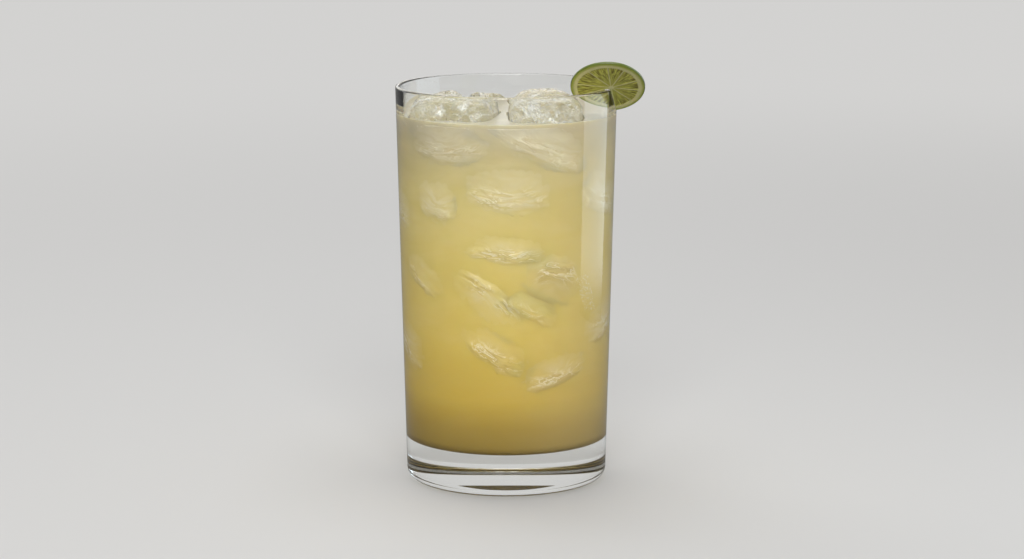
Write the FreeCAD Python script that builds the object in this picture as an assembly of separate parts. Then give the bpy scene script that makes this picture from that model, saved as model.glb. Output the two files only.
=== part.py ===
"""A long mixed drink in a straight-sided tumbler, with ice and a wheel of lime on the rim.

Millimetres. +Z is up. The origin is on the tumbler's axis, in the plane it stands on.
+Y points away from the front, and the lime sits at the front right.
"""
import FreeCAD, Part
import math
import os

# ---------------------------------------------------------------- tumbler
glass_height = 131.5
rim_radius = 36.5          # outside, at the lip
foot_radius = 33.15        # outside, where the straight side would meet the table
rim_wall = 1.45            # wall at the lip
lip_share = 0.49           # each edge of the lip is rounded by this share of the wall
foot_wall = 2.2            # wall just above the solid base
base_thickness = 14.0      # table to the bottom of the bowl
heel_round = 3.4           # outside edge of the foot
bowl_round = 2.8           # inside corner of the bowl
foot_ring = 5.0            # width of the flat ring that the glass stands on
push_up = 1.9              # height of the hollow under the base

# ---------------------------------------------------------------- drink
headspace = 10.0           # level of the drink below the lip
meniscus_rise = 1.1
meniscus_width = 2.2

# ---------------------------------------------------------------- ice
ice_wall_gap = 0.35        # melt-water film between a cube and the wall
upright_melt = 0.035       # share by which the other upright edges are rounder than the level ones

# Plan lengths are shares of the mouth that the cubes crowd into; heights and stands are millimetres.
# name, bearing, reach, length, width, height, stand above the drink, melt (edge rounding) and
# outer melt (upright edge nearest the wall) as shares of the cube's shorter side, turn, pitch, roll
ice_cubes = [
    ("ice_front_left", 211.5, 0.600, 0.86, 0.665, 19.5, 6.8, 0.21, 0.56, -14.0, 2.0, 0.8),
    ("ice_front_right", 311.5, 0.570, 0.73, 0.66, 23.0, 6.8, 0.20, 0.53, 4.0, -2.0, -0.5),
    ("ice_back_left", 151.0, 0.650, 0.43, 0.42, 20.0, 7.4, 0.36, 0.43, 9.0, 8.0, -8.0),
    ("ice_back_middle", 106.0, 0.720, 0.46, 0.41, 21.0, 5.5, 0.35, 0.41, -7.0, -7.0, 5.0),
    ("ice_back_right", 44.0, 0.505, 0.71, 0.68, 24.0, 7.9, 0.36, 0.47, 4.0, 3.0, -3.0),
]

# ---------------------------------------------------------------- lime wheel
wheel_radius = 12.1
wheel_thickness = 1.1
rind = 1.05                # green skin, as the cut shows it
pith = 1.15                # pale layer inside the skin
core_radius = 0.95         # pale core where the membranes meet
core_shift = 1.1           # the core is off the middle of the wheel
segment_count = 10
segment_unevenness = 0.16  # share by which the segments differ in width
first_membrane = -80.0     # bearing of the first membrane from the core
membrane = 0.34            # wall between two segments
pulp_recess = 0.14         # the cut pulp lies this much below its membranes
pulp_corner = 0.42
rind_edge = 0.38           # rounding of the skin
seat_bearing = -23.4       # where the wheel straddles the rim, from +X
seat_gap = 0.2             # between the slit and the wall it straddles
slit_stop = 1.5            # the slit ends this far short of the wheel's middle
wheel_lean = 44.5          # off upright, its top over to the front
wheel_droop = 2.7          # its free side hangs this much lower
lime_ice_gap = 0.3         # between the wheel and ice under it

tolerance = 0.01
up = FreeCAD.Vector(0, 0, 1)
centre = FreeCAD.Vector(0, 0, 0)


def outer_radius(z):
    return foot_radius + (rim_radius - foot_radius) * z / glass_height


def inner_radius(z):
    """Inside of the wall, which thickens from the lip down to the top of the base."""
    depth = (glass_height - z) / (glass_height - base_thickness)
    return outer_radius(z) - rim_wall - (foot_wall - rim_wall) * depth


def in_section(r, z):
    return FreeCAD.Vector(r, 0, z)


def rounded_outline(corners):
    """Edges through the corners (r, z, rounding), each rounding a tangent arc."""
    edges = []
    start = in_section(*corners[0][:2])
    for before, corner, after in zip(corners, corners[1:], corners[2:]):
        point = in_section(*corner[:2])
        if not corner[2]:
            edges.append(Part.LineSegment(start, point).toShape())
            start = point
            continue
        back = (in_section(*before[:2]) - point).normalize()
        ahead = (in_section(*after[:2]) - point).normalize()
        half_turn = back.getAngle(ahead) / 2
        setback = corner[2] / math.tan(half_turn)
        inward = (back + ahead).normalize()
        middle = point + inward * (corner[2] / math.sin(half_turn) - corner[2])
        enter = point + back * setback
        leave = point + ahead * setback
        edges.append(Part.LineSegment(start, enter).toShape())
        edges.append(Part.Arc(enter, middle, leave).toShape())
        start = leave
    edges.append(Part.LineSegment(start, in_section(*corners[-1][:2])).toShape())
    return edges


def turned(edges):
    return Part.Face(Part.Wire(edges)).revolve(centre, up, 360)


def make_glass():
    """Pressed tumbler: tapered side, thick base with a hollow under it, and a fire-rounded lip."""
    lip = rim_wall * lip_share
    stand_radius = foot_radius - heel_round
    ring_inside = stand_radius - foot_ring
    corners = [
        (ring_inside, 0, 0),
        (outer_radius(0), 0, heel_round),
        (outer_radius(glass_height), glass_height, lip),
        (inner_radius(glass_height), glass_height, lip),
        (inner_radius(base_thickness), base_thickness, bowl_round),
        (0, base_thickness, 0),
        (0, push_up, 0),
    ]
    edges = rounded_outline(corners)
    ring_edge = in_section(ring_inside, 0)
    hollow_radius = (ring_inside ** 2 + push_up ** 2) / (2 * push_up)
    half_angle = math.asin(ring_inside / hollow_radius) / 2
    on_hollow = in_section(hollow_radius * math.sin(half_angle),
                           push_up - hollow_radius * (1 - math.cos(half_angle)))
    edges.append(Part.Arc(in_section(0, push_up), on_hollow, ring_edge).toShape())
    return turned(edges)


def make_fill(level):
    """The bowl's contents up to the level, climbing the wall in a meniscus."""
    climb = level + meniscus_rise
    wall_top = in_section(inner_radius(climb), climb)
    shore = in_section(wall_top.x - meniscus_width, level)
    curve = (meniscus_width ** 2 + meniscus_rise ** 2) / (2 * meniscus_rise)
    half_angle = math.asin(meniscus_width / curve) / 2
    on_curve = in_section(shore.x + curve * math.sin(half_angle),
                          level + curve * (1 - math.cos(half_angle)))
    edges = rounded_outline([
        (0, level, 0),
        (0, base_thickness, 0),
        (inner_radius(base_thickness), base_thickness, bowl_round),
        (wall_top.x, wall_top.z, 0),
    ])
    edges.append(Part.Arc(wall_top, on_curve, shore).toShape())
    edges.append(Part.LineSegment(shore, in_section(0, level)).toShape())
    return turned(edges)


def is_level(edge):
    return abs(edge.Vertexes[0].Z - edge.Vertexes[-1].Z) < tolerance


def outwards(edge, direction):
    return edge.CenterOfMass.dot(direction)


def make_ice(level, bearing, reach, length, width, height, stand, melt, outer_melt, turn, pitch, roll):
    """A tray-moulded cube worn round by melting, afloat with its top above the drink."""
    mouth = inner_radius(level) - ice_wall_gap
    long_side = length * mouth
    short_side = width * mouth
    cube = Part.makeBox(long_side, short_side, height,
                        FreeCAD.Vector(-long_side / 2, -short_side / 2, -height / 2))
    facing = math.radians(bearing - turn)
    to_wall = FreeCAD.Vector(math.cos(facing), math.sin(facing), 0)
    uprights = sorted([e for e in cube.Edges if not is_level(e)], key=lambda e: outwards(e, to_wall))
    cube = cube.makeFillet(outer_melt * short_side, uprights[3:])
    uprights = sorted([e for e in cube.Edges if not is_level(e)], key=lambda e: outwards(e, to_wall))
    cube = cube.makeFillet((melt + upright_melt) * short_side, uprights[:3])
    cube = cube.makeFillet(melt * short_side, [e for e in cube.Edges if is_level(e)])
    cube.rotate(centre, FreeCAD.Vector(1, 0, 0), pitch)
    cube.rotate(centre, FreeCAD.Vector(0, 1, 0), roll)
    cube.rotate(centre, up, turn)
    angle = math.radians(bearing)
    cube.translate(FreeCAD.Vector(reach * mouth * math.cos(angle), reach * mouth * math.sin(angle),
                                  level + stand - cube.optimalBoundingBox().ZMax))
    return cube


def segment_angles():
    """Bearings of the membranes round the core: no two segments are quite the same width."""
    widths = [1 + segment_unevenness * math.sin(2.4 * i + 0.6) for i in range(segment_count)]
    bearings = [first_membrane]
    for width in widths:
        bearings.append(bearings[-1] + 360 * width / sum(widths))
    return bearings


def slice_of_ring(apex, bearing_from, bearing_to, reach, height):
    """A prism with its point at the apex and its sides along the two bearings."""
    chords = 4
    points = [apex]
    for i in range(chords + 1):
        angle = math.radians(bearing_from + (bearing_to - bearing_from) * i / chords)
        points.append(apex + FreeCAD.Vector(reach * math.cos(angle), reach * math.sin(angle), 0))
    return Part.Face(Part.makePolygon(points + points[:1])).extrude(up * height)


def segment_pockets():
    """The pulp of each segment, as the shallow hollow that its cut face leaves between membranes."""
    floor = wheel_thickness / 2 - pulp_recess
    pulp_radius = wheel_radius - rind - pith
    ground = Part.makeCylinder(pulp_radius, wheel_thickness, FreeCAD.Vector(0, 0, floor))
    core = Part.makeCylinder(core_radius, wheel_thickness, FreeCAD.Vector(core_shift, 0, floor))
    pockets = []
    bearings = segment_angles()
    for start, end in zip(bearings, bearings[1:]):
        middle = math.radians((start + end) / 2)
        inset = membrane / 2 / math.sin(math.radians(end - start) / 2)
        apex = FreeCAD.Vector(core_shift + inset * math.cos(middle), inset * math.sin(middle), floor)
        pocket = slice_of_ring(apex, start, end, 2 * wheel_radius, wheel_thickness).common(ground).cut(core)
        outer_ends = [e for e in pocket.Edges if not is_level(e)
                      and math.hypot(e.Vertexes[0].X, e.Vertexes[0].Y) > pulp_radius - tolerance]
        pocket = pocket.makeFillet(pulp_corner, outer_ends)
        pockets.append(pocket)
        pockets.append(pocket.mirror(centre, up))
    return pockets


def make_wheel_blank(extra=0):
    """The round slice, or the room that it takes with something extra all round."""
    thickness = wheel_thickness + 2 * extra
    return Part.makeCylinder(wheel_radius + extra, thickness, FreeCAD.Vector(0, 0, -thickness / 2))


def seat_on_rim(shape):
    """Moves a shape from the wheel's own frame to where the end of its slit sits on the lip."""
    bearing = math.radians(seat_bearing)
    wall_middle = rim_radius - rim_wall / 2
    shape.translate(FreeCAD.Vector(0, slit_stop, 0))
    shape.rotate(centre, FreeCAD.Vector(1, 0, 0), 90 + wheel_lean)
    shape.rotate(centre, FreeCAD.Vector(0, 1, 0), wheel_droop)
    shape.translate(FreeCAD.Vector(wall_middle * math.cos(bearing), wall_middle * math.sin(bearing),
                                   glass_height + seat_gap))
    return shape


def wall_in_slit():
    """The wall of the glass under the lip, with the clearance that the slit leaves all round it."""
    low = glass_height - wheel_radius
    high = glass_height + seat_gap
    around = Part.makeCone(outer_radius(low) + seat_gap, outer_radius(high) + seat_gap, high - low,
                           FreeCAD.Vector(0, 0, low))
    within = Part.makeCone(inner_radius(low) - seat_gap, inner_radius(high) - seat_gap, high - low,
                           FreeCAD.Vector(0, 0, low))
    return around.cut(within)


def make_lime():
    """Wheel of lime: recessed pulp between membranes, slit to straddle the wall of the glass."""
    disc = make_wheel_blank()
    disc = disc.makeFillet(rind_edge, [e for e in disc.Edges if isinstance(e.Curve, Part.Circle)])
    return seat_on_rim(disc.cut(segment_pockets())).cut(wall_in_slit())


def wheel_space():
    """The room that the wheel takes: ice under it has melted back from it."""
    return seat_on_rim(make_wheel_blank(lime_ice_gap))


def save(name, shape):
    shape = shape.removeSplitter()
    solids = shape.Solids
    box = shape.optimalBoundingBox()
    print("%-16s solids %d valid %s volume %8.1f  x %6.1f %6.1f  y %6.1f %6.1f  z %6.1f %6.1f" % (
        name, len(solids), shape.isValid(), shape.Volume, box.XMin, box.XMax, box.YMin, box.YMax,
        box.ZMin, box.ZMax))
    solids[0].exportStep(os.path.join("parts", name + ".step"))


os.makedirs("parts", exist_ok=True)
drink_level = glass_height - headspace
ice = {row[0]: make_ice(drink_level, *row[1:]).cut(wheel_space()) for row in ice_cubes}
save("glass", make_glass())
drink = make_fill(drink_level)
for cube in ice.values():
    drink = drink.cut(cube)
save("drink", drink)
for ice_name, cube in ice.items():
    save(ice_name, cube)
save("lime_wheel", make_lime())
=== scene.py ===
import math
import random

import bmesh
import bpy
from mathutils import Matrix, Vector, noise


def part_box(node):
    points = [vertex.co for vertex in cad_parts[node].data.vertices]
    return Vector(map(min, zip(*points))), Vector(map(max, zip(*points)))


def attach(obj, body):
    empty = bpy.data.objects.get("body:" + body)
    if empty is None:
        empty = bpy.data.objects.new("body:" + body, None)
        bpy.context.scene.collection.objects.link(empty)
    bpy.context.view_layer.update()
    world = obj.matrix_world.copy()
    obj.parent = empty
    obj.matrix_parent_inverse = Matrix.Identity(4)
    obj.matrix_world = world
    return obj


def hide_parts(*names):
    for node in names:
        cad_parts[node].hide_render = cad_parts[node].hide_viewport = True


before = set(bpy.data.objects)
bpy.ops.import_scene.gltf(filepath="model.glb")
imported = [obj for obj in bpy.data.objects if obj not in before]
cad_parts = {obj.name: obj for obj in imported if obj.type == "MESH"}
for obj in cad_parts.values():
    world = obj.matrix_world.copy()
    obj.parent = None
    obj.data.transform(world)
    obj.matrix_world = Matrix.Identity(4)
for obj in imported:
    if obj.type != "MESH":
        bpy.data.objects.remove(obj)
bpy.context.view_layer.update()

# ------------------------------------------------------------------ glass
# A pressed highball glass: clear soda-lime glass with a tapered side, a fire-rounded lip and a
# solid base, hollowed underneath so that it stands on a flat ring.
MM = 0.001
glass_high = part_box("glass")[1]
glass_height = glass_high.z
rim_radius = glass_high.x
foot_radius = 33.15 * MM
rim_wall = 1.45 * MM
foot_wall = 2.2 * MM
base_thickness = 14.0 * MM
lip_round = 0.49 * rim_wall
heel_round = 3.4 * MM
bowl_round = 2.8 * MM
foot_ring = 5.0 * MM
push_up = 1.9 * MM
push_up_steps = 8
facets_round = 192
same_place = 0.001 * MM


def outer_radius(z):
    return foot_radius + (rim_radius - foot_radius) * z / glass_height


def inner_radius(z):
    depth = (glass_height - z) / (glass_height - base_thickness)
    return outer_radius(z) - rim_wall - (foot_wall - rim_wall) * depth


def start_point(name, place):
    """A new piece that is one vertex, left in edit mode with that vertex selected."""
    bpy.ops.object.select_all(action="DESELECT")
    bpy.ops.mesh.primitive_plane_add(size=MM)
    piece = bpy.context.object
    piece.name = piece.data.name = name
    bpy.ops.object.mode_set(mode="EDIT")
    bpy.ops.mesh.merge(type="CENTER")
    bpy.ops.transform.translate(value=place)
    return piece


def select_points(piece, test):
    """Selects the vertices that pass the test, and nothing else."""
    shape = bmesh.from_edit_mesh(piece.data)
    bpy.ops.mesh.select_all(action="DESELECT")
    for point in shape.verts:
        if test(point):
            point.select_set(True)
    shape.select_flush_mode()
    bmesh.update_edit_mesh(piece.data)


def turn_outline(name, corners, steps):
    """Draws an outline through corners (radius, height, rounding, segments) and spins it."""
    piece = start_point(name, (corners[0][0], 0, corners[0][1]))
    bpy.ops.mesh.select_mode(type="VERT")
    for before, corner in zip(corners, corners[1:]):
        step = (corner[0] - before[0], 0, corner[1] - before[1])
        bpy.ops.mesh.extrude_region_move(TRANSFORM_OT_translate={"value": step})
    for radius, height, rounding, segments in corners:
        if rounding:
            select_points(piece, lambda v: abs(v.co.x - radius) < same_place
                          and abs(v.co.z - height) < same_place)
            bpy.ops.mesh.bevel(offset=rounding, segments=segments, affect="VERTICES", profile=0.5)
    bpy.ops.mesh.select_all(action="SELECT")
    bpy.ops.mesh.spin(steps=steps, angle=math.tau, center=(0, 0, 0), axis=(0, 0, 1))
    bpy.ops.mesh.select_all(action="SELECT")
    bpy.ops.mesh.remove_doubles(threshold=same_place)
    bpy.ops.mesh.normals_make_consistent(inside=False)
    bpy.ops.object.mode_set(mode="OBJECT")
    bpy.ops.object.shade_smooth()
    return piece


def dome(radius, rise, count):
    """Points of a shallow arc from the axis, rise high, down to the radius at height 0."""
    curve = (radius ** 2 + rise ** 2) / (2 * rise)
    reaches = [radius * i / count for i in range(count)]
    return [(reach, rise - curve + math.sqrt(curve ** 2 - reach ** 2), 0, 0) for reach in reaches]


def set_inputs(node, values):
    """Sets a node's inputs by their names."""
    for name, value in values.items():
        node.inputs[name].default_value = value


def new_material(name, values):
    """A material with these values on its main shader, and its nodes, links and main shader."""
    material = bpy.data.materials.new(name)
    material.use_nodes = True
    nodes, links = material.node_tree.nodes, material.node_tree.links
    shader = nodes["Principled BSDF"]
    set_inputs(shader, values)
    return material, nodes, links, shader


def mix_shaders(nodes, links, share, first, second):
    """A mix of two shaders that holds the second one by the share."""
    mix = nodes.new("ShaderNodeMixShader")
    for source, socket in zip((share, first.outputs[0], second.outputs[0]), mix.inputs):
        links.new(source, socket)
    return mix


def lamps_pass(nodes, links, shader, tint):
    """Lets lamp light through a clear shader, so that what it holds is lit."""
    path = nodes.new("ShaderNodeLightPath")
    clear = nodes.new("ShaderNodeBsdfTransparent")
    clear.inputs["Color"].default_value = tint
    surface = mix_shaders(nodes, links, path.outputs["Is Shadow Ray"], shader, clear)
    links.new(surface.outputs[0], nodes["Material Output"].inputs["Surface"])


def clear_glass():
    """Colourless glass with the faintest green."""
    material, nodes, links, shader = new_material("clear_glass", {
        "Base Color": (0.985, 0.995, 0.985, 1), "Roughness": 0.0, "IOR": 1.5,
        "Transmission Weight": 1.0})
    lamps_pass(nodes, links, shader, (0.96, 0.97, 0.96, 1))
    return material


hollow_radius = outer_radius(0) - heel_round - foot_ring
glass_outline = dome(hollow_radius, push_up, push_up_steps) + [
    (hollow_radius, 0, 0, 0),
    (outer_radius(0), 0, heel_round, 10),
    (rim_radius, glass_height, lip_round, 6),
    (inner_radius(glass_height), glass_height, lip_round, 6),
    (inner_radius(base_thickness), base_thickness, bowl_round, 8),
    (0, base_thickness, 0, 0),
]
glass = turn_outline("highball_glass", glass_outline, facets_round)
glass.data.materials.append(clear_glass())
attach(glass, "root")
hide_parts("glass")


# ------------------------------------------------------------------ drink
# Cloudy fruit and citrus drink, poured over ice. It wets the wall all round, climbs it a little in
# a meniscus, holds the standing ice in hollows, and is creamy at the top and deeper gold below.
headspace = 10.0 * MM
drink_level = glass_height - headspace
into_wall = 0.12 * MM
at_surface = 0.05 * MM
near_axis = 1 * MM
# share of the drink's height, colour
drink_colours = (
    (0.0, (0.29, 0.20, 0.042)),
    (0.08, (0.39, 0.27, 0.050)),
    (0.17, (0.57, 0.41, 0.072)),
    (0.36, (0.65, 0.50, 0.120)),
    (0.60, (0.65, 0.525, 0.158)),
    (0.80, (0.62, 0.52, 0.210)),
    (0.93, (0.51, 0.44, 0.245)),
    (1.0, (0.43, 0.39, 0.29)),
)
cloud_cream = (0.80, 0.70, 0.42)
cloud_strength = 0.36
# painted light: the right side of the drink, towards the tall lamp, is painted this paler colour
side_light_colour = (0.62, 0.495, 0.26)
side_light_strength = 0.30
side_light_from, side_light_to = -6 * MM, 30 * MM
light_depth = (1.0, 0.75, 0.35)


def only(piece):
    """Selects one piece alone and makes it active."""
    if bpy.context.object and bpy.context.object.mode != "OBJECT":
        bpy.ops.object.mode_set(mode="OBJECT")
    bpy.ops.object.select_all(action="DESELECT")
    piece.select_set(True)
    bpy.context.view_layer.objects.active = piece


def merged_copy(node, name):
    """A copy of a construction solid with its loose triangles merged into one skin."""
    piece = bpy.data.objects.new(name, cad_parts[node].data.copy())
    bpy.context.collection.objects.link(piece)
    piece.data.name = name
    piece.data.materials.clear()
    only(piece)
    bpy.ops.object.mode_set(mode="EDIT")
    bpy.ops.mesh.select_all(action="SELECT")
    bpy.ops.mesh.customdata_custom_splitnormals_clear()
    bpy.ops.mesh.remove_doubles(threshold=0.002 * MM)
    bpy.ops.object.mode_set(mode="OBJECT")
    return piece


def part_of(nodes, links, value, low, high, to_low=0.0, to_high=1.0, kind="LINEAR"):
    """A value between low and high, brought to between to_low and to_high."""
    share = nodes.new("ShaderNodeMapRange")
    share.interpolation_type = kind
    set_inputs(share, {"From Min": low, "From Max": high, "To Min": to_low, "To Max": to_high})
    links.new(value, share.inputs["Value"])
    return share.outputs[0]


def reckon(nodes, links, operation, first, second):
    """Arithmetic on two values, of which each is a socket or a number."""
    result = nodes.new("ShaderNodeMath")
    result.operation = operation
    for value, socket in zip((first, second), result.inputs):
        if isinstance(value, float):
            socket.default_value = value
        else:
            links.new(value, socket)
    return result.outputs[0]


def times(nodes, links, first, second):
    """The product of two values."""
    return reckon(nodes, links, "MULTIPLY", first, second)


def colour_band(nodes, links, value, stops):
    """Colours by a value, with a stop (value, colour) for each change."""
    band = nodes.new("ShaderNodeValToRGB")
    elements = band.color_ramp.elements
    while len(elements) < len(stops):
        elements.new(0.5)
    for element, (position, colour) in zip(elements, stops):
        element.position = position
        element.color = (*colour, 1)
    links.new(value, band.inputs[0])
    return band.outputs[0]


def tinted(nodes, links, base, share, colour):
    """A base colour with a share of another one over it."""
    mix = nodes.new("ShaderNodeMix")
    mix.data_type = "RGBA"
    mix.inputs[7].default_value = (*colour, 1)
    links.new(share, mix.inputs["Factor"])
    links.new(base, mix.inputs[6])
    return mix.outputs[2]


def stretched(nodes, links, place, values):
    """A place turned or stretched, for a pattern that runs along it."""
    stretch = nodes.new("ShaderNodeMapping")
    set_inputs(stretch, values)
    links.new(place, stretch.inputs["Vector"])
    return stretch.outputs[0]


def noise_over(nodes, links, place, values):
    """Noise over a place, about a half."""
    field = nodes.new("ShaderNodeTexNoise")
    set_inputs(field, values)
    links.new(place, field.inputs["Vector"])
    return field.outputs["Fac"]


def drink_colour(nodes, links):
    """Colour by height, with slow clouds of paler drink, and painted light on the right side,
    towards the tall lamp, which is painted paler.
    """
    place = nodes.new("ShaderNodeTexCoord").outputs["Object"]
    parts = nodes.new("ShaderNodeSeparateXYZ")
    links.new(place, parts.inputs[0])
    height = part_of(nodes, links, parts.outputs["Z"], base_thickness, drink_level)
    # colour by height alone: paler higher up, deeper gold and darker towards the bottom
    by_height = colour_band(nodes, links, height, drink_colours)
    slanted = stretched(nodes, links, place, {"Rotation": (0.2, 0.45, 0), "Scale": (0.8, 0.8, 2.2)})
    clouds = noise_over(nodes, links, slanted, {
        "Scale": 42, "Detail": 4, "Roughness": 0.55, "Distortion": 0.5})
    amount = part_of(nodes, links, clouds, 0.35, 0.70, 0.0, cloud_strength)
    cloudy = tinted(nodes, links, by_height, times(nodes, links, amount, height), cloud_cream)
    # painted light: the drink is painted paler towards the right, where the tall lamp stands
    side = part_of(nodes, links, parts.outputs["X"], side_light_from, side_light_to, 0.0, side_light_strength,
                   "SMOOTHSTEP")
    return tinted(nodes, links, cloudy, side, side_light_colour)


def drink_material(name, roughness, gloss):
    """Cloudy drink that light enters a few millimetres deep."""
    material, nodes, links, shader = new_material(name, {
        "Roughness": roughness, "Specular IOR Level": gloss, "Subsurface Weight": 0.3,
        "Subsurface Radius": light_depth, "Subsurface Scale": 4 * MM})
    links.new(drink_colour(nodes, links), shader.inputs["Base Color"])
    return material


drink = merged_copy("drink", "cloudy_drink")
for point in drink.data.vertices:
    reach = math.hypot(point.co.x, point.co.y)
    at_wall = reach > inner_radius(point.co.z) - at_surface
    low = point.co.z < base_thickness + bowl_round
    if at_wall or low and reach > near_axis:
        point.co.xy *= (reach + into_wall) / reach
    if low:
        point.co.z -= into_wall
drink.data.materials.append(drink_material("cloudy_drink", 0.4, 0.15))
drink.data.materials.append(drink_material("wet_drink_top", 0.25, 0.4))
for face in drink.data.polygons:
    face.material_index = int(face.center.z > drink_level - at_surface)
only(drink)
bpy.ops.object.shade_smooth_by_angle(angle=math.radians(35))
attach(drink, "root")
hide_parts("drink")


# ------------------------------------------------------------------ sunk ice
# Half-melted lumps of ice under the drink, pressed against the wall. Each leans so that one edge
# touches the glass, where its crazed skin shows as wavy strokes: painted glints along the crests
# and painted shade in the troughs beneath them; the rest fades away.
# bearing, height, half width, half height (mm), turn, frost, crazing, how clear, edge that touches
sunk_lumps = [
    (288.5, 118.0, 18.0, 6.8, -24, 0.28, 0.60, 0.0, -1),
    (236.0, 117.0, 13.5, 7.0, 3, 0.28, 0.55, 0.60, -1),
    (270.5, 102.0, 13.5, 6.8, -3, 0.32, 1.00, 0.0, -1),
    (230.0, 97.5, 8.0, 6.5, -14, 0.30, 0.50, 0.0, -1),
    (270.5, 82.5, 11.5, 4.6, -4, 0.24, 1.00, 0.0, -1),
    (297.0, 70.5, 9.5, 8.0, -8, 0.10, 1.00, 0.55, 1),
    (258.0, 65.5, 11.5, 5.2, -38, 0.22, 1.00, 0.0, 1),
    (264.5, 49.5, 11.0, 5.4, -30, 0.14, 1.00, 0.1, -1),
    (299.0, 42.0, 10.5, 4.8, 15, 0.18, 0.85, 0.2, -1),
    (284.5, 63.5, 9.0, 4.2, -27, 0.10, 0.45, 0.0, -1),
    (334.0, 99.0, 11.5, 6.5, -18, 0.30, 0.80, 0.0, -1),
    (341.0, 57.0, 12.5, 6.5, 14, 0.22, 0.90, 0.2, -1),
    (7.0, 82.0, 12.0, 7.5, -24, 0.26, 0.90, 0.1, -1),
    (22.0, 112.0, 13.0, 5.5, 8, 0.45, 0.50, 0.0, -1),
    (36.0, 46.0, 12.0, 6.0, -14, 0.22, 0.90, 0.1, -1),
    (52.0, 73.0, 11.5, 8.0, 20, 0.12, 1.00, 0.5, 1),
    (74.0, 102.0, 14.0, 6.5, -9, 0.34, 0.80, 0.0, -1),
    (95.0, 56.0, 13.0, 6.5, -26, 0.22, 0.90, 0.1, -1),
    (117.0, 84.0, 12.0, 6.0, 10, 0.26, 0.85, 0.0, -1),
    (137.0, 41.0, 11.5, 5.5, -12, 0.22, 0.80, 0.2, -1),
    (146.0, 110.0, 13.0, 6.5, -20, 0.42, 0.60, 0.0, -1),
    (164.0, 69.0, 11.5, 7.0, 16, 0.12, 1.00, 0.45, 1),
    (186.0, 94.0, 12.0, 6.5, -15, 0.30, 0.80, 0.0, -1),
    (198.0, 49.0, 12.0, 6.0, -28, 0.22, 0.90, 0.1, -1),
    (218.0, 72.0, 9.0, 4.5, -30, 0.18, 0.60, 0.0, -1),
]
lump_depth = 7 * MM
lump_taper = 0.75
grain = 0.4 * MM
under_level = 0.15 * MM
# in half widths and half heights of a lump
fringe = 1.3
squareness = 2.3
swell_edge = 1.30
far_plateau, near_plateau = 0.15, 0.45
stroke_row = 0.52
stroke_spread = 0.40
stroke_length = 0.85
# height, waves across a half width, step between lumps
outline_waves = ((0.24, 1.7, 5.3), (0.12, 4.5, 3.1))
# in millimetres
swell_height = 0.38
rim_sunk_by = 0.05
wrinkle_height = 0.10
seen_through = (0.42, 0.33, 0.15)
frost_white = (0.80, 0.77, 0.66)
# painted shade in the crazing's troughs, and painted glints on its crests
painted_shade_colour = (0.42, 0.29, 0.08)
painted_glint_colour = (0.95, 0.91, 0.76)


def smooth_step(low, high, value):
    """0 at low and before it, 1 at high and past it, and an even curve between."""
    share = min(max((value - low) / (high - low), 0), 1)
    return share * share * (3 - 2 * share)


def wavy(*place):
    """Smooth noise about 0 at a place."""
    return noise.noise(Vector(place))


def lump_blank(wide, tall):
    """A grid of fine faces with a tapered, closed back, which a lump is shaped from."""
    bpy.ops.object.select_all(action="DESELECT")
    bpy.ops.mesh.primitive_grid_add(size=2 * fringe,
                                    x_subdivisions=int(2 * fringe * wide * MM / grain),
                                    y_subdivisions=int(2 * fringe * tall * MM / grain))
    bpy.ops.object.mode_set(mode="EDIT")
    bpy.ops.mesh.select_all(action="SELECT")
    bpy.ops.mesh.region_to_loop()
    bpy.ops.mesh.extrude_region_move(TRANSFORM_OT_translate={"value": (0, 0, -1)})
    bpy.ops.transform.resize(value=(lump_taper, lump_taper, 1))
    bpy.ops.mesh.edge_face_add()
    bpy.ops.object.mode_set(mode="OBJECT")
    return bpy.context.object


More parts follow.
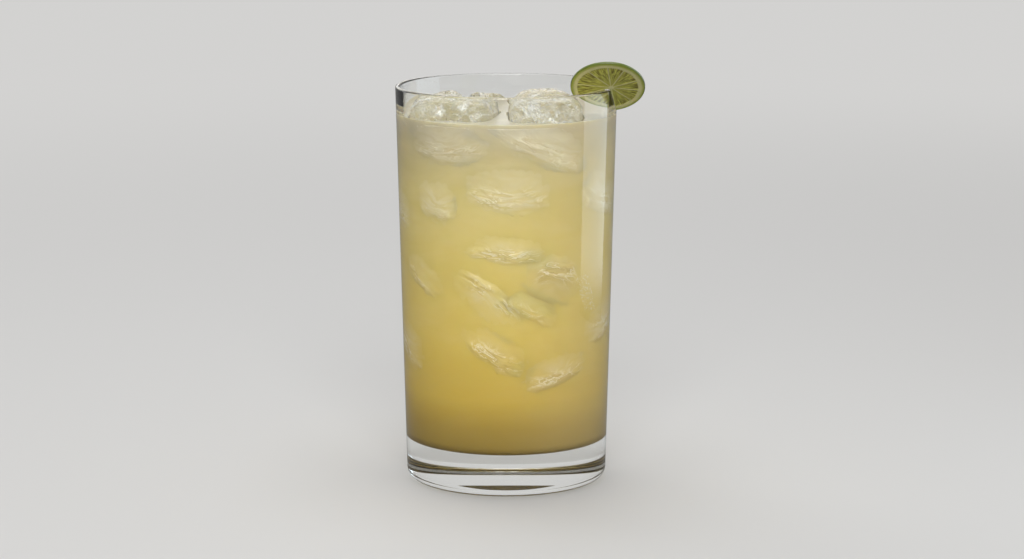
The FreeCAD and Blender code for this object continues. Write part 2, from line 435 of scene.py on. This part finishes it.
def sunk_lump(seed, bearing, height, wide, tall, turn, frosty, crazing, clear, edge):
    """One lump, shaped on the wall and cut off just under the drink's level."""
    lump = lump_blank(wide, tall)
    layers = lump.data.attributes
    for name in ("frost", "depth", "crazed"):
        layers.new(name, "FLOAT", "POINT")
    layers.new("skin", "FLOAT_VECTOR", "POINT")
    frost, depth, crazed, skin = (layers[name].data
                                  for name in ("frost", "depth", "crazed", "skin"))
    slope = math.radians(turn)
    for point in lump.data.vertices:
        a, b, back = point.co
        along, up = a * wide, b * tall
        near = edge * b
        ragged = sum(high * wavy(a * waves, b * waves, seed * step)
                     for high, waves, step in outline_waves)
        reach = (abs(a) ** squareness + abs(b) ** squareness) ** (1 / squareness) + ragged
        plateau = far_plateau + near_plateau * smooth_step(0, 0.8, near)
        swell = smooth_step(swell_edge, plateau, reach)
        rows = math.exp(-((near - stroke_row) / stroke_spread) ** 2 - (a / stroke_length) ** 4)
        rows *= smooth_step(1.20, 0.95, reach)
        rows *= smooth_step(-0.25, 0.15, wavy(along * 0.16, up * 0.20, seed * 7.9) + 0.12)
        frost[point.index].value = frosty * swell * (0.8 + 0.35 * near)
        depth[point.index].value = 0.5 * clear * swell
        # where the crazing's relief is, and where its glints and shade are painted
        crazed[point.index].value = crazing * rows
        across = 0.6 * up + 0.4 * edge * reach * tall
        skin[point.index].vector = (along, across, seed * 11.3)
        wrinkle = 1 - 4 * abs(wavy(along * 0.17, across * 0.50, seed * 11.3))
        proud = swell_height * swell * (0.7 + 0.4 * near) - rim_sunk_by
        proud += wrinkle_height * crazing * rows * wrinkle
        along, up = (along * math.cos(slope) - up * math.sin(slope),
                     along * math.sin(slope) + up * math.cos(slope))
        z = (height + up) * MM
        radius = inner_radius(z) + into_wall + proud * MM + back * lump_depth
        angle = math.radians(bearing) + along * MM / inner_radius(z)
        point.co = (radius * math.cos(angle), radius * math.sin(angle), z)
    bpy.ops.object.mode_set(mode="EDIT")
    bpy.ops.mesh.select_all(action="SELECT")
    bpy.ops.mesh.bisect(plane_co=(0, 0, drink_level - under_level), plane_no=(0, 0, 1),
                        clear_outer=True, use_fill=True)
    bpy.ops.object.mode_set(mode="OBJECT")
    return lump


def join_pieces(pieces, name):
    """Joins pieces into one with a name."""
    only(pieces[0])
    for piece in pieces:
        piece.select_set(True)
    bpy.ops.object.join()
    joined = bpy.context.object
    joined.name = joined.data.name = name
    return joined


def attribute(nodes, name, output="Fac"):
    reader = nodes.new("ShaderNodeAttribute")
    reader.attribute_name = name
    return reader.outputs[output]


def skin_noise(nodes, links, stretch_by, detail):
    """Noise over a lump's own skin, stretched along it."""
    place = stretched(nodes, links, attribute(nodes, "skin", "Vector"), {"Scale": stretch_by})
    return noise_over(nodes, links, place, {"Scale": 1.0, "Detail": detail, "Distortion": 0.7})


def line_at(nodes, links, field, level, width):
    """1 where the noise is at a level, falling to 0 to either side: a thin wavy line."""
    black, white = (0, 0, 0), (1, 1, 1)
    return colour_band(nodes, links, field, (
        (level - width, black), (level, white), (level + width, black)))


def add_relief(nodes, links, shader, height, distance, strength):
    """Fine relief on a shader's surface."""
    bump = nodes.new("ShaderNodeBump")
    set_inputs(bump, {"Distance": distance, "Strength": strength})
    links.new(height, bump.inputs["Height"])
    links.new(bump.outputs[0], shader.inputs["Normal"])


def sunk_ice_material():
    """The drink's colour, with frost, clearer depths, painted glints on the crazing's crests and
    painted shade in its troughs.
    """
    material, nodes, links, shader = new_material("ice_under_drink", {
        "Specular IOR Level": 0.25, "Subsurface Weight": 0.3,
        "Subsurface Radius": light_depth, "Subsurface Scale": 1.5 * MM})
    frost, depth, crazed = (attribute(nodes, name) for name in ("frost", "depth", "crazed"))
    ripples = skin_noise(nodes, links, (0.20, 0.80, 1), 3)
    streaks = part_of(nodes, links, skin_noise(nodes, links, (0.10, 0.80, 1), 4),
                      0.35, 0.68, 0.55, 1.6)
    # painted glints along the crests of the crazing, and painted shade in the troughs just under
    # them
    glint_lines = times(nodes, links, line_at(nodes, links, ripples, 0.545, 0.045), crazed)
    shade_lines = times(nodes, links, line_at(nodes, links, ripples, 0.465, 0.05), crazed)
    layers = (
        (depth, seen_through),
        (times(nodes, links, frost, streaks), frost_white),
        (times(nodes, links, shade_lines, 0.50), painted_shade_colour),
        (times(nodes, links, glint_lines, 0.72), painted_glint_colour),
    )
    base = drink_colour(nodes, links)
    for share, colour in layers:
        base = tinted(nodes, links, base, share, colour)
    links.new(base, shader.inputs["Base Color"])
    links.new(part_of(nodes, links, glint_lines, 0.0, 0.8, 0.4, 0.12), shader.inputs["Roughness"])
    add_relief(nodes, links, shader, times(nodes, links, ripples, crazed), 0.5 * MM, 0.8)
    return material


sunk_ice = join_pieces([sunk_lump(seed + 1, *row) for seed, row in enumerate(sunk_lumps)],
                       "sunk_ice")
bpy.ops.object.mode_set(mode="EDIT")
bpy.ops.mesh.select_all(action="SELECT")
bpy.ops.mesh.normals_make_consistent(inside=False)
bpy.ops.object.mode_set(mode="OBJECT")
bpy.ops.object.shade_smooth()
sunk_ice.data.materials.append(sunk_ice_material())
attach(sunk_ice, "root")


# ------------------------------------------------------------------ standing ice
# Five lumps of clear ice that float above the drink: melted smooth outside, crazed and dimpled
# where they cracked as they cooled the drink, with white crack sheets inside.
standing_ice = ("ice_front_left", "ice_front_right", "ice_back_left", "ice_back_middle",
                "ice_back_right")
ice_grain = 0.36 * MM
melt_size, melt_depth = 5.0 * MM, 1.1 * MM
crazing_size, crazing_depth = 1.0 * MM, 0.55 * MM


def clear_ice():
    """Clear ice with milky patches and a net of fine cracks in its skin."""
    material, nodes, links, shader = new_material("clear_ice", {
        "Base Color": (0.97, 0.98, 0.97, 1), "Roughness": 0.04, "IOR": 1.31})
    place = nodes.new("ShaderNodeTexCoord").outputs["Object"]
    patches = noise_over(nodes, links, place, {
        "Scale": 150, "Detail": 5, "Roughness": 0.65, "Distortion": 1.2})
    links.new(part_of(nodes, links, patches, 0.48, 0.68, 1.0, 0.55),
              shader.inputs["Transmission Weight"])
    cells = nodes.new("ShaderNodeTexVoronoi")
    cells.feature = "DISTANCE_TO_EDGE"
    cells.inputs["Scale"].default_value = 560
    links.new(place, cells.inputs["Vector"])
    net = part_of(nodes, links, cells.outputs["Distance"], 0.0, 0.16)
    add_relief(nodes, links, shader, net, 0.18 * MM, 0.7)
    lamps_pass(nodes, links, shader, (0.93, 0.94, 0.92, 1))
    return material


def even_out(piece, size):
    """Rebuilds a piece's skin with even faces of a size."""
    remesh = piece.modifiers.new("even", "REMESH")
    remesh.mode = "VOXEL"
    remesh.voxel_size = size
    bpy.ops.object.modifier_apply(modifier="even")


def dimple(piece, name, size, depth):
    """Presses a cloudy pattern into a piece."""
    texture = bpy.data.textures.new(name, "CLOUDS")
    texture.noise_scale = size
    modifier = piece.modifiers.new(name, "DISPLACE")
    modifier.texture = texture
    modifier.texture_coords = "LOCAL"
    modifier.strength = depth
    modifier.mid_level = 1.0
    bpy.ops.object.modifier_apply(modifier=name)


ice_finish = clear_ice()
for node in standing_ice:
    lump = merged_copy(node, "melted_" + node)
    even_out(lump, ice_grain)
    dimple(lump, "melt", melt_size, melt_depth)
    dimple(lump, "crazing", crazing_size, crazing_depth)
    bpy.ops.object.shade_smooth()
    lump.data.materials.append(ice_finish)
    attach(lump, "root")
    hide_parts(node)


# ------------------------------------------------------------------ cracks in the ice
# White crack sheets inside the standing ice, from the shock of the warm drink: thin crumpled
# sheets that are cloudy along their veins and fade out at the edge.
many_cracks, few_cracks = 11, 6
large_lump = 10 * MM
crack_grid = 18
crack_thickness = 0.06 * MM
crack_sizes = (2.4, 5.0)
crack_spread = (-0.6, 0.6)
crack_heights = (-3.0, 3.0)
crack_tilts = (-1.2, 1.2)
crack_turns = (0, 6)
# waves to a metre
vein_waves, patch_waves = 700, 450
fine_folds, coarse_folds = 900, 300
fine_crumple = 0.35
# the folds need a seed of their own, because noise vectors otherwise start from the clock
placing_seed, folding_seed = 11, 1795445068
draw = random.Random(placing_seed)
noise.seed_set(folding_seed)


def white_crack():
    """Matt white that is as solid as its sheet is cloudy."""
    material, nodes, links, shader = new_material("white_crack", {
        "Base Color": (0.95, 0.95, 0.93, 1), "Roughness": 0.5})
    links.new(attribute(nodes, "cloud"), shader.inputs["Alpha"])
    return material


def crack_sheet(number, middle, half):
    """A crumpled sheet at a random place, size and turn inside a lump."""
    place = Vector((middle.x + half.x * draw.uniform(*crack_spread),
                    middle.y + half.y * draw.uniform(*crack_spread),
                    drink_level + draw.uniform(*crack_heights) * MM))
    size = draw.uniform(*crack_sizes) * MM
    turns = [draw.uniform(*between) for between in (crack_tilts, crack_tilts, crack_turns)]
    bpy.ops.object.select_all(action="DESELECT")
    bpy.ops.mesh.primitive_grid_add(size=size, x_subdivisions=crack_grid,
                                    y_subdivisions=crack_grid, location=place, rotation=turns)
    sheet = bpy.context.object
    cloud = sheet.data.attributes.new("cloud", "FLOAT", "POINT")
    for point in sheet.data.vertices:
        reach = math.hypot(point.co.x, point.co.y) / (size / 2)
        apart = Vector((number, size * 9000, 0))
        veins = 1 - 2.6 * abs(noise.noise(point.co * vein_waves + apart))
        reach += 0.5 * noise.noise(point.co * patch_waves + Vector((0, number, 5)))
        patch = smooth_step(1.0, 0.2, reach)
        cloud.data[point.index].value = patch * (0.10 + 0.34 * max(veins, 0))
    bpy.ops.object.transform_apply(location=True, rotation=True, scale=True)
    for point in sheet.data.vertices:
        fine = noise.noise_vector(point.co * fine_folds) * fine_crumple * MM
        coarse = noise.noise_vector(point.co * coarse_folds) * MM
        point.co += fine + coarse
    return sheet


cracks = []
for node in standing_ice:
    low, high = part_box(node)
    half = (high - low) / 2
    count = many_cracks if half.x > large_lump else few_cracks
    cracks += [crack_sheet(i, (low + high) / 2, half) for i in range(count)]
ice_cracks = join_pieces(cracks, "ice_cracks")
thicken = ice_cracks.modifiers.new("thick", "SOLIDIFY")
thicken.thickness = crack_thickness
bpy.ops.object.modifier_apply(modifier="thick")
bpy.ops.object.shade_smooth()
ice_cracks.data.materials.append(white_crack())
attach(ice_cracks, "root")


# ------------------------------------------------------------------ fine bubbles
# Tiny bubbles that cling to the inside of the wall in a drift beside one lump, and a few in the
# meniscus round the top of the drink.
drift_bubbles, level_bubbles = 200, 40
bubble_radii = (0.08, 0.17)
bubble_sunk_by = 0.2
drift_bearing, drift_slant, drift_width = 311, 8, 10
drift_top, drift_length = 72, 12
level_heights = (-1.2, 0.1)


def bubble(bearing, z):
    """A bubble of a random size, a little sunk in the drink's side."""
    size = draw.uniform(*bubble_radii) * MM
    out = inner_radius(z) + into_wall - bubble_sunk_by * size
    bpy.ops.object.select_all(action="DESELECT")
    bpy.ops.mesh.primitive_ico_sphere_add(
        subdivisions=1, radius=size,
        location=(out * math.cos(bearing), out * math.sin(bearing), z))
    return bpy.context.object


bubbles = []
for i in range(drift_bubbles):
    down = draw.uniform(0, 1)
    bearing = drift_bearing + drift_slant * down + draw.uniform(0, drift_width)
    bubbles.append(bubble(math.radians(bearing), (drift_top - drift_length * down) * MM))
for i in range(level_bubbles):
    bearing = math.radians(draw.uniform(0, 360))
    bubbles.append(bubble(bearing, drink_level + draw.uniform(*level_heights) * MM))
fine_bubbles = join_pieces(bubbles, "fine_bubbles")
bpy.ops.object.transform_apply(location=True, rotation=True, scale=True)
bpy.ops.object.shade_smooth()
fine_bubbles.data.materials.append(new_material("bubble_skin", {
    "Base Color": (0.86, 0.82, 0.66, 1), "Roughness": 0.1, "Specular IOR Level": 0.4})[0])
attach(fine_bubbles, "root")


# ------------------------------------------------------------------ lime wheel
# A thin slice across a lime, slit from one side and pushed on to the rim: green skin, pale pith,
# ten segments of juice sacs between thin membranes, and a pale core a little off its middle.
# Lengths are in millimetres, in the wheel's own frame.
wheel_radius = 12.1
wheel_thickness = 1.1
rind = 1.05
pith = 1.15
core_radius = 0.95
core_shift = 1.1
segment_count = 10
segment_unevenness = 0.16
first_membrane = -80.0
membrane = 0.34
sac_relief = 0.09
even_tone = 0.62
lime_grain = 0.13
seat_bearing = math.radians(-23.4)
seat_gap = 0.2
slit_stop = 1.5
wheel_lean = math.radians(44.5)
wheel_droop = math.radians(2.7)
deep_juice = Vector((0.17, 0.145, 0.014))
bright_juice = Vector((0.66, 0.66, 0.120))
deep_pith = Vector((0.64, 0.62, 0.26))
bright_pith = Vector((0.74, 0.71, 0.36))
inner_skin = Vector((0.38, 0.43, 0.055))
outer_skin = Vector((0.13, 0.175, 0.016))

wall_middle = (rim_radius - rim_wall / 2) / MM
wheel_place = (Matrix.Scale(MM, 4)
               @ Matrix.Translation((wall_middle * math.cos(seat_bearing),
                                     wall_middle * math.sin(seat_bearing),
                                     glass_height / MM + seat_gap))
               @ Matrix.Rotation(wheel_droop, 4, "Y")
               @ Matrix.Rotation(math.pi / 2 + wheel_lean, 4, "X")
               @ Matrix.Translation((0, slit_stop, 0)))
widths = [1 + segment_unevenness * math.sin(2.4 * i + 0.6) for i in range(segment_count)]
bearings = [first_membrane]
for width in widths:
    bearings.append(bearings[-1] + 360 * width / sum(widths))


def lime_flesh(x, y):
    """Colour of the wheel at a point, and how far (mm) its juice sacs stand out there."""
    reach = math.hypot(x, y)
    across = math.hypot(x - core_shift, y)
    bearing = math.degrees(math.atan2(y, x - core_shift))
    bearing = (bearing - bearings[0]) % 360 + bearings[0]
    gap = min(math.radians(abs(bearing - b)) * across for b in bearings)
    sway = 0.14 * wavy(x * 0.5, y * 0.5, 4.0)
    skin_start = wheel_radius - rind
    pulp_end = skin_start - pith
    in_skin = smooth_step(skin_start - 0.40, skin_start + 0.60, reach + sway)
    in_pith = smooth_step(pulp_end - 0.25, pulp_end + 0.15, reach + sway)
    in_web = 0.95 * (1 - smooth_step(membrane * 0.2, membrane * 0.80, gap + sway * 0.5))
    in_core = 1 - smooth_step(core_radius * 0.6, core_radius * 1.3, across + sway)
    pale = max(in_pith, in_web, in_core)
    turn = math.radians(bearing)
    sac = wavy(turn * 30, across * 0.30, 1.0) + 0.7 * wavy(turn * 62, across * 0.70, 7.0)
    spread = smooth_step(1.0, 7.5, across)
    streak = even_tone + (smooth_step(-0.40, 0.40, sac) - even_tone) * (0.25 + 0.75 * spread)
    tone = 0.5 + 0.5 * wavy(x, y, 2.0)
    flesh = deep_juice.lerp(bright_juice, streak).lerp(deep_pith.lerp(bright_pith, tone), pale)
    deep = smooth_step(wheel_radius - 0.45, wheel_radius - 0.05, reach)
    skin = inner_skin.lerp(outer_skin, deep)
    return flesh.lerp(skin, in_skin), sac_relief * (streak - 0.5) * (1 - pale)


def lime_material():
    """Wet flesh and waxy skin under one soft coat, coloured by the wheel's own attribute."""
    material, nodes, links, shader = new_material("fresh_lime", {
        "Roughness": 0.32, "Subsurface Weight": 0.3, "Subsurface Radius": (0.8, 1.0, 0.3),
        "Subsurface Scale": 0.8 * MM, "Coat Weight": 0.25, "Coat Roughness": 0.12})
    links.new(attribute(nodes, "flesh", "Color"), shader.inputs["Base Color"])
    return material


lime = merged_copy("lime_wheel", "lime_slice")
even_out(lime, lime_grain * MM)
soften = lime.modifiers.new("soften", "SMOOTH")
soften.iterations = 2
bpy.ops.object.modifier_apply(modifier="soften")
flesh = lime.data.color_attributes.new("flesh", "FLOAT_COLOR", "POINT")
to_wheel = wheel_place.inverted()
wheel_turn = wheel_place.to_3x3().normalized()
for point in lime.data.vertices:
    x, y, z = to_wheel @ point.co
    colour, relief = lime_flesh(x, y)
    flesh.data[point.index].color = (*colour, 1)
    if math.hypot(x, y) < wheel_radius - rind and abs(z) > wheel_thickness * 0.25:
        point.co += wheel_turn @ Vector((0, 0, math.copysign(relief, z) * MM))
bpy.ops.object.shade_smooth()
lime.data.materials.append(lime_material())
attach(lime, "root")
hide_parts("lime_wheel")


# ------------------------------------------------------------------ table, light and view
# A plain pale table top under soft lamps, with a tall soft lamp at the right whose mirror image
# runs down the glass. The view is from a little above the rim, about a metre away.
pale = (0.65, 0.645, 0.635, 1)
table_colour = (0.67, 0.665, 0.655, 1)
table_colour_bounced = (0.26, 0.256, 0.25, 1)
table_fades_from, table_fades_to = 0.2, 1.2
backdrop_bounced = 0.38
lamps_aim = (0, 0, 0.07)
softbox_width, softbox_height = 0.197, 0.40
softbox_place = (0.262, 0.0595, 0.201)
softbox_aim = (0.026, -0.024, 0.201)
softbox_fades_over = 0.035
softbox_glow = 2.05
camera_place = (1.9 * MM, -978 * MM, 243 * MM)
camera_dip = 10.23


def table_material():
    """A pale top that turns into an even backdrop with distance, and is darker for the light
    that bounces off it, so that the drink isn't lit from below."""
    material, nodes, links, shader = new_material("pale_table", {
        "Base Color": table_colour, "Roughness": 0.8, "Specular IOR Level": 0.2})
    rays = nodes.new("ShaderNodeLightPath").outputs
    shade = nodes.new("ShaderNodeBsdfDiffuse")
    shade.inputs["Color"].default_value = table_colour_bounced
    mirrored = reckon(nodes, links, "SUBTRACT", rays["Is Glossy Ray"], rays["Is Transmission Ray"])
    bounced = reckon(nodes, links, "MAXIMUM", rays["Is Diffuse Ray"], mirrored)
    surface = mix_shaders(nodes, links, bounced, shader, shade)
    reach = nodes.new("ShaderNodeVectorMath")
    reach.operation = "LENGTH"
    links.new(nodes.new("ShaderNodeTexCoord").outputs["Object"], reach.inputs[0])
    far = part_of(nodes, links, reach.outputs["Value"], table_fades_from, table_fades_to,
                  kind="SMOOTHSTEP")
    backdrop = nodes.new("ShaderNodeEmission")
    backdrop.inputs["Color"].default_value = pale
    links.new(part_of(nodes, links, bounced, 0.0, 1.0, 1.0, backdrop_bounced),
              backdrop.inputs["Strength"])
    blend = mix_shaders(nodes, links, far, surface, backdrop)
    links.new(blend.outputs[0], nodes["Material Output"].inputs["Surface"])
    return material


def studio_world():
    """A dim even room that shows as the pale backdrop, also in glass and in part in gloss."""
    world = bpy.data.worlds.new("studio")
    world.use_nodes = True
    nodes, links = world.node_tree.nodes, world.node_tree.links
    room = nodes["Background"]
    set_inputs(room, {"Color": (0.60, 0.60, 0.60, 1), "Strength": 0.42})
    seen = nodes.new("ShaderNodeBackground")
    seen.inputs["Color"].default_value = pale
    rays = nodes.new("ShaderNodeLightPath").outputs
    share = times(nodes, links, rays["Is Glossy Ray"], 0.55)
    for ray in ("Is Camera Ray", "Is Transmission Ray"):
        share = reckon(nodes, links, "MAXIMUM", rays[ray], share)
    choose = mix_shaders(nodes, links, share, room, seen)
    links.new(choose.outputs[0], nodes["World Output"].inputs["Surface"])
    return world


def soft_lamp(name, place, width, height, power):
    """A wide lamp aimed at the middle of the glass, which no camera sees."""
    data = bpy.data.lights.new(name, "AREA")
    data.shape = "RECTANGLE"
    data.size = width
    data.size_y = height
    data.energy = power
    lamp = bpy.data.objects.new(name, data)
    lamp.location = place
    aim = Vector(lamps_aim) - Vector(place)
    lamp.rotation_euler = aim.to_track_quat("-Z", "Y").to_euler()
    lamp.visible_camera = False
    bpy.context.collection.objects.link(lamp)
    return lamp


def lit_cloth():
    """The front of the tall soft lamp, which fades out at its lower end."""
    material, nodes, links = new_material("lit_cloth", {})[:3]
    parts = nodes.new("ShaderNodeSeparateXYZ")
    links.new(nodes.new("ShaderNodeTexCoord").outputs["Object"], parts.inputs[0])
    low_end = -softbox_height / 2
    glow = nodes.new("ShaderNodeEmission")
    glow.inputs["Color"].default_value = (0.82, 0.92, 1.0, 1)
    links.new(part_of(nodes, links, parts.outputs["Y"], low_end, low_end + softbox_fades_over,
                      0.0, softbox_glow, "SMOOTHSTEP"), glow.inputs["Strength"])
    links.new(glow.outputs[0], nodes["Material Output"].inputs["Surface"])
    return material


bpy.ops.object.select_all(action="DESELECT")
bpy.ops.mesh.primitive_plane_add(size=12.0)
floor = bpy.context.object
floor.name = "table_top"
floor.data.materials.append(table_material())
bpy.context.scene.world = studio_world()

soft_lamp("overhead", (0.0, 0.0, 1.15), width=0.9, height=0.9, power=5.8)
soft_lamp("front", (0.02, -1.45, 0.95), width=0.9, height=0.7, power=13.3)
back_lamp = soft_lamp("back_left", (-0.6, 1.45, 0.95), width=2.0, height=1.4, power=10.0)
back_lamp.visible_transmission = False

bpy.ops.object.select_all(action="DESELECT")
bpy.ops.mesh.primitive_plane_add(size=1)
softbox = bpy.context.object
softbox.name = "strip_softbox"
bpy.ops.transform.resize(value=(softbox_width, softbox_height, 1))
bpy.ops.object.transform_apply(scale=True)
softbox.location = softbox_place
towards_glass = Vector(softbox_aim) - softbox.location
softbox.rotation_euler = towards_glass.to_track_quat("Z", "Y").to_euler()
softbox.visible_camera = False
softbox.visible_diffuse = False
softbox.visible_shadow = False
softbox.data.materials.append(lit_cloth())

camera_data = bpy.data.cameras.new("front_view")
camera_data.sensor_width = 36.0
camera_data.lens = 105.1
camera_data.clip_start = 0.05
camera_data.clip_end = 30.0
camera = bpy.data.objects.new("front_view", camera_data)
camera.location = camera_place
camera.rotation_euler = (math.radians(90 - camera_dip), 0, 0)
bpy.context.collection.objects.link(camera)
bpy.context.scene.camera = camera
bpy.context.scene.view_settings.view_transform = "Standard"
